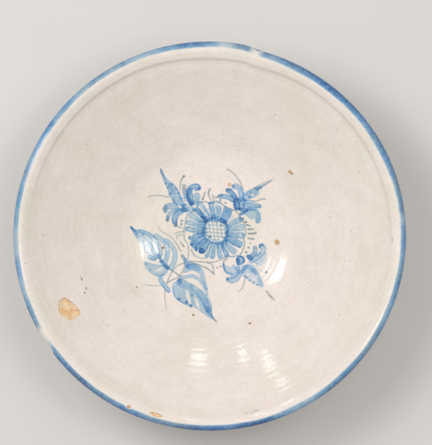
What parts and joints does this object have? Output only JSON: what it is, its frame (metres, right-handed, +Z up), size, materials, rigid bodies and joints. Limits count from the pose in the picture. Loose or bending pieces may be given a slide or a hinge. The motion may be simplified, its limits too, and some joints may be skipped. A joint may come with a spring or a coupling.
{
  "type": "bowl",
  "caption": "Wide thrown bowl with a flared wall, thickened lip with a painted edge, glaze coats inside and out, and a low foot ring.",
  "frame": {"origin": "middle of the plane that the foot ring stands on", "axes": "+Z up, along the bowl's turning axis; +Y towards the top of the painted flower, +X to its right"},
  "size_m": [0.3214, 0.3186, 0.0967],
  "materials": {
    "clay": "bare fired earthenware, matt",
    "foot_clay": "bare fired earthenware, rubbed",
    "inner_glaze": "glossy opaque tin glaze",
    "outer_glaze": "glossy opaque tin glaze",
    "painted_rim": "blue painted glaze, worn"
  },
  "bodies": {
    "root": {"clay_body": "clay", "foot_ring": "foot_clay", "inner_glaze": "inner_glaze", "outer_glaze": "outer_glaze", "rim_band": "painted_rim"}
  },
  "joints": []
}
